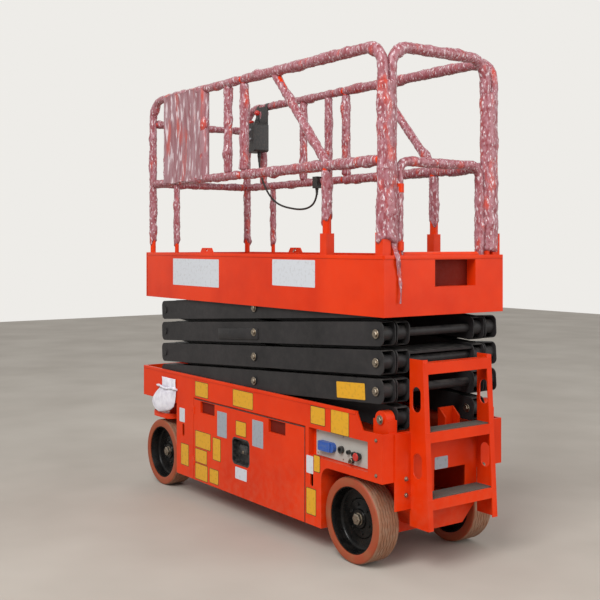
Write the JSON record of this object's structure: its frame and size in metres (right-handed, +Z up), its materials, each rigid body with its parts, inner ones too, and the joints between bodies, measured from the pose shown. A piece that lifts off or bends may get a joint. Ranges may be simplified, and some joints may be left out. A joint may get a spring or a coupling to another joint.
{
  "type": "slab scissor lift",
  "caption": "Electric slab scissor lift, folded down: wheeled orange chassis, grey scissor stack, railed platform with roll-out deck and entry gate.",
  "frame": {"origin": "on the floor under the middle of the machine", "axes": "+X towards the steered wheels and the roll-out end, +Y to the machine's left, +Z up"},
  "size_m": [2.42, 0.768, 2.3794],
  "materials": {
    "battery_case": "matte",
    "black_plastic": "matte",
    "black_rim": "gloss",
    "blue_plastic": "gloss",
    "cable_rubber": "matte",
    "chrome_rod": "polished",
    "deck_steel": "satin",
    "grey_paint": "satin",
    "grip_pad": "matte",
    "label_white": "satin",
    "label_yellow": "satin",
    "orange_paint": "gloss",
    "panel_grey": "satin",
    "pin_steel": "satin",
    "solid_tread": "matte",
    "white_cloth": "matte",
    "wrap_film": "gloss"
  },
  "bodies": {
    "chassis": {"chassis_frame": "orange_paint", "side_skins": "orange_paint", "kingpin_brackets": "orange_paint", "roller_tracks": "orange_paint", "chassis_lugs": "orange_paint", "rear_axles": "grey_paint", "ladder": "orange_paint", "tread_pads": "grip_pad", "ground_panel": "panel_grey", "ground_controls": "black_plastic", "charge_socket": "blue_plastic"},
    "door_left": {"door_left": "orange_paint", "latch_left": "black_plastic", "tray_left": "grey_paint", "battery_pack": "battery_case"},
    "door_right": {"door_right": "orange_paint", "latch_right": "black_plastic", "tray_right": "grey_paint", "hydraulic_unit": "grey_paint"},
    "knuckle_left": {"knuckle_left": "orange_paint"},
    "knuckle_right": {"knuckle_right": "orange_paint"},
    "tie_rod": {"tie_rod": "pin_steel"},
    "wheel_fl": {"tread_fl": "solid_tread", "rim_fl": "black_rim"},
    "wheel_fr": {"tread_fr": "solid_tread", "rim_fr": "black_rim"},
    "wheel_rl": {"tread_rl": "solid_tread", "rim_rl": "black_rim"},
    "wheel_rr": {"tread_rr": "solid_tread", "rim_rr": "black_rim"},
    "lift_barrel": {"lift_barrel": "grey_paint"},
    "lift_rod": {"lift_rod": "chrome_rod"},
    "platform": {"platform_deck": "deck_steel", "side_plates": "orange_paint", "main_rails": "orange_paint", "entry_frame": "orange_paint", "lanyard_anchors": "orange_paint"},
    "gate": {"gate": "orange_paint"},
    "roll_out": {"roll_out_deck": "orange_paint", "roll_out_rails": "orange_paint", "control_box": "black_plastic", "control_cable": "cable_rubber", "cable_terminal": "black_plastic"},
    "level_a1": {"arms_a1": "grey_paint", "cross_a1": "grey_paint"},
    "level_b1": {"arms_b1": "grey_paint", "cross_b1": "grey_paint"},
    "level_a2": {"arms_a2": "grey_paint", "cross_a2": "grey_paint"},
    "level_b2": {"arms_b2": "grey_paint", "cross_b2": "grey_paint"},
    "level_a3": {"arms_a3": "grey_paint", "cross_a3": "grey_paint"},
    "level_b3": {"arms_b3": "grey_paint", "cross_b3": "grey_paint"},
    "level_a4": {"arms_a4": "grey_paint", "cross_a4": "grey_paint"},
    "level_b4": {"arms_b4": "grey_paint", "cross_b4": "grey_paint"}
  },
  "joints": [
    {"name": "scissor_raise", "type": "hinge", "parent": "chassis", "child": "level_a1", "pos_m": [-1.025, 0, 0.685], "axis": [0, -1, 0], "range_deg": [0, 58.3]},
    {"name": "level_1_cross", "type": "hinge", "parent": "level_a1", "child": "level_b1", "pos_m": [-0.035, 0, 0.749], "axis": [0, 1, 0], "range_deg": [0, 116.7]},
    {"name": "level_2_rear", "type": "hinge", "parent": "level_b1", "child": "level_a2", "pos_m": [-1.025, 0, 0.813], "axis": [0, -1, 0], "range_deg": [0, 116.7]},
    {"name": "level_2_cross", "type": "hinge", "parent": "level_a2", "child": "level_b2", "pos_m": [-0.035, 0, 0.877], "axis": [0, 1, 0], "range_deg": [0, 116.7]},
    {"name": "level_3_rear", "type": "hinge", "parent": "level_b2", "child": "level_a3", "pos_m": [-1.025, 0, 0.941], "axis": [0, -1, 0], "range_deg": [0, 116.7]},
    {"name": "level_3_cross", "type": "hinge", "parent": "level_a3", "child": "level_b3", "pos_m": [-0.035, 0, 1.005], "axis": [0, 1, 0], "range_deg": [0, 116.7]},
    {"name": "level_4_rear", "type": "hinge", "parent": "level_b3", "child": "level_a4", "pos_m": [-1.025, 0, 1.069], "axis": [0, -1, 0], "range_deg": [0, 116.7]},
    {"name": "level_4_cross", "type": "hinge", "parent": "level_a4", "child": "level_b4", "pos_m": [-0.035, 0, 1.133], "axis": [0, 1, 0], "range_deg": [0, 116.7]},
    {"name": "platform_rear", "type": "hinge", "parent": "level_b4", "child": "platform", "pos_m": [-1.025, 0, 1.197], "axis": [0, -1, 0], "range_deg": [0, 58.4]},
    {"name": "barrel_tilt", "type": "hinge", "parent": "level_a2", "child": "lift_barrel", "pos_m": [0.8164, 0, 0.93204], "axis": [0, 1, 0], "range_deg": [0, 125.29]},
    {"name": "rod_slide", "type": "slide", "parent": "lift_barrel", "child": "lift_rod", "axis": [-0.9935, 0, 0.1142], "range_m": [0, 0.4538]},
    {"name": "deck_roll_out", "type": "slide", "parent": "platform", "child": "roll_out", "axis": [1, 0, 0], "range_m": [0, 0.9]},
    {"name": "gate_swing", "type": "hinge", "parent": "platform", "child": "gate", "pos_m": [-1.055, 0.257, 1.6], "axis": [0, 0, 1], "range_deg": [0, 90]},
    {"name": "door_left_swing", "type": "hinge", "parent": "chassis", "child": "door_left", "pos_m": [0.574, 0.377, 0.35], "axis": [0, 0, -1], "range_deg": [0, 95]},
    {"name": "door_right_swing", "type": "hinge", "parent": "chassis", "child": "door_right", "pos_m": [0.574, -0.377, 0.35], "axis": [0, 0, 1], "range_deg": [0, 95]},
    {"name": "steer", "type": "hinge", "parent": "chassis", "child": "knuckle_left", "pos_m": [1, 0.262, 0.45], "axis": [0, 0, 1], "range_deg": [-40, 40]},
    {"name": "steer_right", "type": "hinge", "parent": "chassis", "child": "knuckle_right", "pos_m": [1, -0.262, 0.45], "axis": [0, 0, 1], "range_deg": [-40, 40]},
    {"name": "tie_rod_turn", "type": "hinge", "parent": "knuckle_left", "child": "tie_rod", "pos_m": [0.868, 0.262, 0.438], "axis": [0, 0, 1], "range_deg": [-40, 40]},
    {"name": "wheel_fl_spin", "type": "hinge", "parent": "knuckle_left", "child": "wheel_fl", "pos_m": [1, 0.3, 0.198], "axis": [0, 1, 0], "continuous": true},
    {"name": "wheel_fr_spin", "type": "hinge", "parent": "knuckle_right", "child": "wheel_fr", "pos_m": [1, -0.3, 0.198], "axis": [0, 1, 0], "continuous": true},
    {"name": "wheel_rl_spin", "type": "hinge", "parent": "chassis", "child": "wheel_rl", "pos_m": [-0.845, 0.3, 0.198], "axis": [0, 1, 0], "continuous": true},
    {"name": "wheel_rr_spin", "type": "hinge", "parent": "chassis", "child": "wheel_rr", "pos_m": [-0.845, -0.3, 0.198], "axis": [0, 1, 0], "continuous": true}
  ],
  "couplings": [
    {"joint": "level_1_cross", "follows": "scissor_raise", "ratio": 2},
    {"joint": "level_2_rear", "follows": "scissor_raise", "ratio": 2},
    {"joint": "level_2_cross", "follows": "scissor_raise", "ratio": 2},
    {"joint": "level_3_rear", "follows": "scissor_raise", "ratio": 2},
    {"joint": "level_3_cross", "follows": "scissor_raise", "ratio": 2},
    {"joint": "level_4_rear", "follows": "scissor_raise", "ratio": 2},
    {"joint": "level_4_cross", "follows": "scissor_raise", "ratio": 2},
    {"joint": "platform_rear", "follows": "scissor_raise", "ratio": 1},
    {"joint": "barrel_tilt", "follows": "scissor_raise", "ratio": 2.1457},
    {"joint": "rod_slide", "follows": "scissor_raise", "m_per_rad": 0.44498},
    {"joint": "steer_right", "follows": "steer", "ratio": 1},
    {"joint": "tie_rod_turn", "follows": "steer", "ratio": -1}
  ]
}
